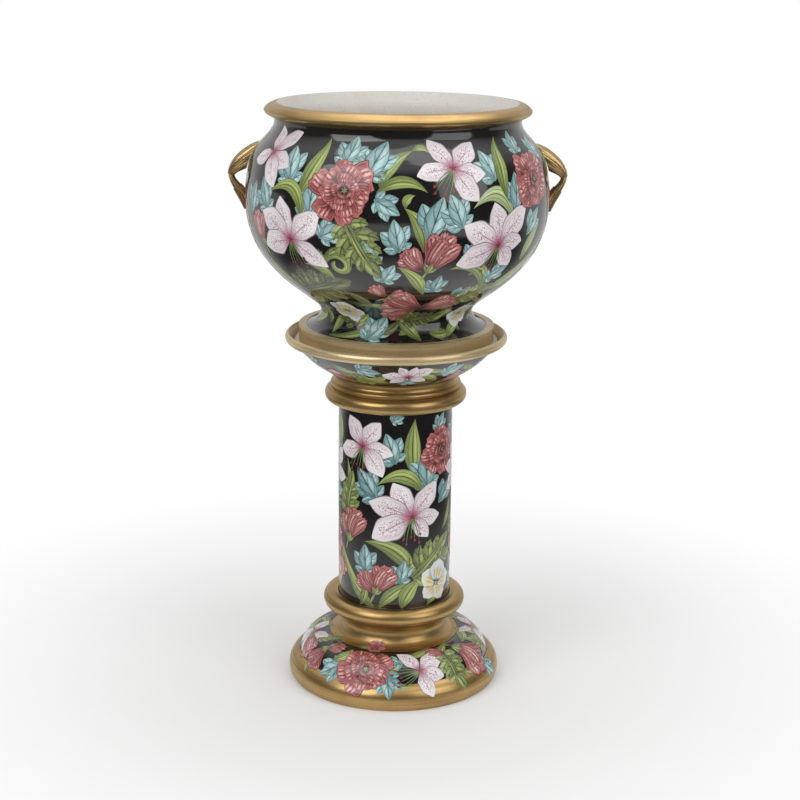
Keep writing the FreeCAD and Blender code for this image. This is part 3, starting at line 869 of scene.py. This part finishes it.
SHAFT_FLOWERS = (
    ("strap", 1, (
        (20, 388, 0, 100, 31, -0.04), (29, 358, -80, 80, 27, 0.3), (20, 206, -55, 108, 30, 0.2),
        (-21, 152, -37, 136, 17, -0.06), (-21, 152, -46, 76, 22, -0.04), (-15, 152, 53, 76, 22, -0.1),
        (8, 152, 34, 62, 28, -0.1), (57, 282, 25, 60, 14), (-56, 300, 0, 110, 18, 0.08),
        (88, 200, 10, 110, 24), (-84, 160, 20, 90, 22), (84, 330, -10, 110, 24), (-74, 420, 0, 70, 20),
        (-36, 152, 10, 44, 16), (36, 152, 60, 50, 18, -0.1))),
    ("acanthus", 1, ((20, 208, 52, 106), (38, 222, 74, 66), (-58, 312, 14, 80), (86, 250, 0, 80))),
    ("teal", 1, (
        (1, 410, -18, 56), (-18, 346, -36, 64), (34, 364, -2, 70), (50, 332, 46, 52, (-40, 36)),
        (-30, 210, -2, 54), (6, 196, 10, 44), (46, 460, 30, 36), (-80, 400, 0, 56), (80, 430, 0, 50),
        (-86, 320, 20, 50), (84, 160, 0, 50))),
    ("teal", 0.8, ((-4, 484, 70, 30),)),
    ("lily", 1, (
        (-34, 436, 0, ((-31, 58), (37, 56), (-104, 56), (101, 56), (143, 62)), -165),
        (18, 316, 0, ((-29, 70), (40, 74), (93, 56), (142, 50), (-72, 80), (-120, 80)), 178))),
    ("lily", 0.9, ((92, 380, 0, ((-30, 60), (42, 62), (100, 56), (-76, 60), (-124, 62)), 180),)),
    ("peony", 0.84, ((52, 424, 0),)),
    ("peony", 0.7, ((-86, 246, 0),)),
    ("tulip", 1, (
        (-53, 264, 20, 66), (-54, 268, -30, 44, False), (-19, 178, 24, 58), (-19, 180, -50, 46, False),
        (-72, 232, 160, 46, False), (84, 300, 20, 50))),
    ("pansy", 1.2, ((48, 190, 12),)),
)

CAPITAL_FLOWERS = (
    ("strap", 1, (
        (-24, 560, 60, 60, 18), (30, 560, -60, 56, 16), (-60, 556, 50, 60, 18), (66, 556, -50, 60, 18),
        (-5, 556, -70, 50, 16), (44, 588, 110, 50, 16), (-84, 560, 60, 50, 16), (84, 585, 120, 50, 16),
        (16, 590, 100, 50, 14), (-40, 590, 110, 50, 14), (-70, 588, 80, 46, 14))),
    ("acanthus", 1, ((-16, 557, -70, 60), (52, 560, 60, 50), (-52, 560, 70, 50))),
    ("teal", 1, (
        (30, 574, 60, 44), (-24, 586, 100, 42), (-64, 580, 40, 42), (70, 572, -30, 42), (2, 556, 60, 36),
        (90, 570, 40, 40))),
    ("lily", 1, (
        (8, 573, 0, ((-80, 44), (62, 46), (-30, 34), (20, 32), (120, 36), (-130, 36))),
        (-78, 574, 0, ((-80, 40), (62, 42), (-30, 32), (20, 30), (120, 34), (-130, 34))))),
    ("tulip", 1, ((34, 552, 58, 58), (-34, 552, -58, 58), (-30, 560, -100, 44, False), (86, 556, 30, 44))),
)

BASE_FLOWERS = (
    ("strap", 1, (
        (-3, 58, 35, 44, 17, 0.08), (11, 76, 60, 50, 18), (32, 66, 46, 62, 18, -0.1),
        (-42, 64, 27, 38, 20, 0.2), (-80, 76, 61, 54, 20), (-4, 44, 96, 50, 14), (88, 78, 175, 56, 20),
        (-62, 56, 160, 36, 16), (64, 76, 60, 60, 18), (-34, 78, 60, 44, 16), (46, 44, 90, 44, 16))),
    ("acanthus", 1, ((38, 74, 168, 78), (-70, 74, 30, 44), (84, 50, -40, 56))),
    ("teal", 1, (
        (-34, 62, -126, 52), (-4, 60, 172, 50), (66, 42, 150, 40), (-84, 62, -100, 46), (6, 70, -70, 30))),
    ("lily", 1, (
        (17, 60, 0, ((-38, 50), (45, 48), (76, 42), (110, 46), (161, 52)), -110),
        (-84, 74, 0, ((161, 46), (120, 54), (-140, 50), (70, 40), (-60, 40))))),
    ("peony", 0.9, ((-19, 60, 0),)),
    ("peony", 0.34, ((-17, 79, 0),)),
    ("tulip", 1, (
        (-54, 72, -162, 52), (-54, 72, 60, 36, False), (52, 76, 146, 78), (40, 74, -60, 34, False),
        (98, 70, 120, 56))),
)


# ---------------------------------------- operators
class JARDINIERE_OT_bowl(bpy.types.Operator):
    """Turn the bowl: gilt rim and foot band, black side and pale inside"""
    bl_idname = "jardiniere.bowl"
    bl_label = "Bowl"

    def execute(self, context):
        turned("bowl_body", BOWL, "bowl", [
            ([(0, 655.3), BOWL_UNDERSIDE], "biscuit"),
            (swelling(BOWL_UNDERSIDE, FOOT_HOLLOW, 9, 8), "biscuit"),
            ([FOOT_HOLLOW, (151, FOOT), (165, FOOT)], "biscuit"),
            # The foot band is satin gold with a painted highlight.
            (FOOT_BAND + FOOT_SWEEP[1:GILT_STEPS + 1], "satin_gold_painted_highlight"),
            ([BOWL_SIDE[0]] + inset_glaze(BOWL_SIDE) + [NECK], "black_glaze"),
            (RIM, "brushed_gold"),
            (BOWL_INSIDE, "biscuit"),
            ([BOWL_FLOOR, (0, 667.3)], "biscuit"),
        ])
        return {"FINISHED"}


class JARDINIERE_OT_pedestal(bpy.types.Operator):
    """Turn the pedestal's base, shaft and capital"""
    bl_idname = "jardiniere.pedestal"
    bl_label = "Pedestal"

    def execute(self, context):
        turned("base_body", PEDESTAL, "base", [
            (BASE_ROLL, "brushed_gold"),
            ([BASE_ROLL[-1]] + inset_glaze(BASE_CUSHION) + [BASE_NECK[0]], "black_glaze"),
            (BASE_NECK, "brushed_gold"),
            (BASE_COLLAR + [(SOCKET, COLLAR_TOP), (SOCKET, SOCKET_FLOOR)], "brushed_gold"),
            ([(SOCKET, SOCKET_FLOOR), (ROD_HOLE, SOCKET_FLOOR), (ROD_HOLE, 121), (78, 121), (78, 91),
              (107.5, 68)], "biscuit"),
            (swelling((107.5, 68), (158, 36), -12.5, 12), "biscuit"),
            (arc((158, 36), (174, 22), (169, 0), 10), "biscuit"),
            ([(169, 0), (180, 0)], "biscuit"),
        ])
        turned("shaft_body", PEDESTAL, "shaft", [
            ([(SHAFT_BORE, SHAFT_FOOT), (SHAFT_RADIUS, SHAFT_FOOT), (SHAFT_RADIUS, 150)]
             + inset_glaze(SHAFT_SIDE)
             + [(SHAFT_RADIUS, 501), (SHAFT_RADIUS, SHAFT_HEAD), (SHAFT_BORE, SHAFT_HEAD)], "black_glaze"),
            ([(SHAFT_BORE, SHAFT_HEAD), (SHAFT_BORE, SHAFT_FOOT)], "biscuit"),
        ])
        turned("capital_body", PEDESTAL, "capital", [
            (HEAD_RINGS, "brushed_gold"),
            (HEAD_THROAT, "brushed_gold"),
            ([FLARE[0]] + inset_glaze(FLARE) + [FLARE[-1], DISH_LIP[0]], "black_glaze"),
            # The dish lip is satin gold with a painted highlight.
            (DISH_LIP, "satin_gold_painted_highlight"),
            (DISH_INSIDE, "brushed_gold"),
            ([(171, DISH_FLOOR), (ROD_HOLE, DISH_FLOOR), (ROD_HOLE, DISH_UNDERSIDE),
              (152.4, DISH_UNDERSIDE), (CAPITAL_BORE, 540.2), (CAPITAL_BORE, CAPITAL_LEDGE),
              (SOCKET, CAPITAL_LEDGE), (SOCKET, CAPITAL_FOOT), (102.1, CAPITAL_FOOT)], "biscuit"),
        ])
        return {"FINISHED"}


class JARDINIERE_OT_fittings(bpy.types.Operator):
    """Finish the pieces that keep their own shape: handles, cork rings, rod, washers and nuts"""
    bl_idname = "jardiniere.fittings"
    bl_label = "Handles and fittings"
    FITTINGS = {"handle_gold": ("right_handle", "left_handle"),
                "cork": ("lower_cork_ring", "upper_cork_ring"),
                "zinc": ("tie_rod", "rod_washers", "rod_nuts")}

    def execute(self, context):
        for finish, nodes in self.FITTINGS.items():
            for node in nodes:
                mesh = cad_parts[node].data
                mesh.materials.clear()
                mesh.materials.append(material(finish))
        return {"FINISHED"}


class JARDINIERE_OT_flowers(bpy.types.Operator):
    """Paint the flowers and leaves on the bowl and the pedestal"""
    bl_idname = "jardiniere.flowers"
    bl_label = "Flowers"

    def execute(self, context):
        base_side = (BASE_ROLL[8:], inset_glaze(BASE_CUSHION), BASE_NECK[:12])
        for prefix, body, stretches, groups in (
                ("bowl", BOWL, [inset_glaze(BOWL_SIDE)], BOWL_FLOWERS),
                ("shaft", PEDESTAL, [inset_glaze(SHAFT_SIDE)], SHAFT_FLOWERS),
                ("capital", PEDESTAL, [inset_glaze(FLARE)], CAPITAL_FLOWERS),
                ("base", PEDESTAL, base_side, BASE_FLOWERS)):
            brush = Brush(Outline(*stretches))
            for half in (0, 180):
                paint(brush, groups, half)
            brush.pieces(prefix, body)
        return {"FINISHED"}


class JARDINIERE_OT_stage(bpy.types.Operator):
    """Set up the pale floor, the soft lights, the world and the camera"""
    bl_idname = "jardiniere.stage"
    bl_label = "Stage"
    GAP = 0.2 * MM
    FLOOR_RADIUS = 60.0
    # Each lamp's name, place, width and share of the key light's power.
    LAMPS = (("key", (-2.2, -2.4, 3.0), 2.8, 1.0),
             ("fill", (2.6, -2.2, 2.2), 2.6, 0.6),
             ("top", (0.2, 0.4, 3.4), 2.8, 0.55))
    LIT_POINT = Vector((0, 0, 0.6))
    CAMERA_PLACE = (0.0075, -2.8, 1.261)
    CAMERA_TILT = math.radians(90 - 15.3)

    def execute(self, context):
        settings = context.scene.jardiniere_stage
        bm = bmesh.new()
        bmesh.ops.create_circle(bm, cap_ends=True, segments=128, radius=self.FLOOR_RADIUS,
                                matrix=Matrix.Translation((0, 0, -self.GAP)))
        mesh = as_mesh(bm, "floor")
        mesh.materials.append(self.floor_finish(tuple(settings.floor)))
        added("floor", mesh)

        for name, place, size, share in self.LAMPS:
            data = bpy.data.lights.new(name, "AREA")
            data.size = size
            data.energy = settings.key * share
            lamp = added(name, data)
            lamp.location = place
            lamp.rotation_euler = (self.LIT_POINT - Vector(place)).to_track_quat("-Z", "Y").to_euler()

        self.world(context)
        data = bpy.data.cameras.new("camera")
        data.lens = settings.lens
        camera = added("camera", data)
        camera.location = self.CAMERA_PLACE
        camera.rotation_euler = (self.CAMERA_TILT, 0, 0)
        camera.rotation_euler.rotate_axis("Z", settings.roll)
        context.scene.camera = camera
        context.scene.view_settings.view_transform = "Standard"
        return {"FINISHED"}

    def floor_finish(self, colour):
        """A pale floor that runs out to plain white. In reflections it is dark, but for a strip in front
        that glows though it is no lamp, a painted highlight for the gilding. From below it is clear."""
        finish = Finish("pale_floor")
        finish.constants(Roughness=0.9)
        finish.paint = colour
        finish.over(finish.noise(1.5, 2) * 0.05, (0.9, 0.9, 0.9))
        place = finish.place()
        depth = Number(finish, finish.node("ShaderNodeSeparateXYZ", {}, [place]).outputs[1])
        length = finish.node("ShaderNodeVectorMath", {"operation": "LENGTH"}, [place])
        far = Number(finish, length.outputs[1])
        dim = far.between(0.3, 1.1) * depth.until(0.3, 1.6) * 0.88
        # The strip glows only in reflections: a painted highlight on the gold, not a lamp.
        strip = far.between(2.0, 2.4) * far.until(3.4, 4.2) * depth.until(-0.2, 0.4) * 0.9
        seen = finish.ray("Camera", "Transmission").most((1 - dim) * 0.65 + strip)
        white = finish.node("ShaderNodeEmission", {}, {"Color": seen})
        share = far.between(0.35, 1.1) * finish.ray("Camera", "Glossy", "Transmission")
        floor = finish.node("ShaderNodeMixShader", {}, [share, finish.shader.outputs[0], white.outputs[0]])
        below = finish.node("ShaderNodeNewGeometry").outputs["Backfacing"]
        clear = finish.node("ShaderNodeBsdfTransparent")
        both = finish.node("ShaderNodeMixShader", {}, [below, floor.outputs[0], clear.outputs[0]])
        finish.link(both.outputs[0], finish.tree.nodes["Material Output"].inputs["Surface"])
        return finish.material

    def world(self, context):
        """White for the camera and plain light for the object. Reflections see a bright back and top."""
        world = bpy.data.worlds.new("studio")
        world.use_nodes = True
        context.scene.world = world
        sky = Nodes(world.node_tree)
        way = sky.node("ShaderNodeSeparateXYZ", {}, [sky.node("ShaderNodeTexCoord").outputs["Generated"]])
        front, up = Number(sky, way.outputs[1]) * -1, Number(sky, way.outputs[2])
        high = up.between(0.45, 0.85)
        room = 0.6 + high * 0.25 - front.between(-0.8, -0.1) * (1 - high) * 0.5
        plain = 1 - sky.ray("Camera", "Glossy", "Transmission")
        seen = sky.ray("Camera", "Transmission").most(sky.ray("Glossy") * room) + plain * 0.55
        sky.link(seen, sky.tree.nodes["Background"].inputs["Color"])


class JARDINIERE_PT_panel(bpy.types.Panel):
    """Lists the sizes, the colours and the steps"""
    bl_label = "Jardiniere"
    bl_idname = "JARDINIERE_PT_panel"
    bl_space_type = "VIEW_3D"
    bl_region_type = "UI"
    bl_category = "Jardiniere"

    def draw(self, context):
        for settings in SETTINGS:
            group = getattr(context.scene, settings)
            for name in group.bl_rna.properties.keys():
                if name not in {"rna_type", "name"}:
                    self.layout.prop(group, name)
        for operator in OPERATORS:
            self.layout.operator(operator.bl_idname)


SETTINGS = {"jardiniere_sizes": JardiniereSizes, "jardiniere_colours": JardiniereColours,
            "jardiniere_stage": StageSettings}
OPERATORS = (JARDINIERE_OT_bowl, JARDINIERE_OT_pedestal, JARDINIERE_OT_fittings, JARDINIERE_OT_flowers,
             JARDINIERE_OT_stage)
CLASSES = (*SETTINGS.values(), *OPERATORS, JARDINIERE_PT_panel)


def register():
    for item in CLASSES:
        bpy.utils.register_class(item)
    for settings, group in SETTINGS.items():
        setattr(bpy.types.Scene, settings, PointerProperty(type=group))


def unregister():
    for settings in SETTINGS:
        delattr(bpy.types.Scene, settings)
    for item in reversed(CLASSES):
        bpy.utils.unregister_class(item)


def main():
    register()
    bpy.ops.jardiniere.bowl()
    bpy.ops.jardiniere.pedestal()
    bpy.ops.jardiniere.fittings()
    bpy.ops.jardiniere.flowers()
    bpy.ops.jardiniere.stage()


if __name__ == "__main__":
    main()
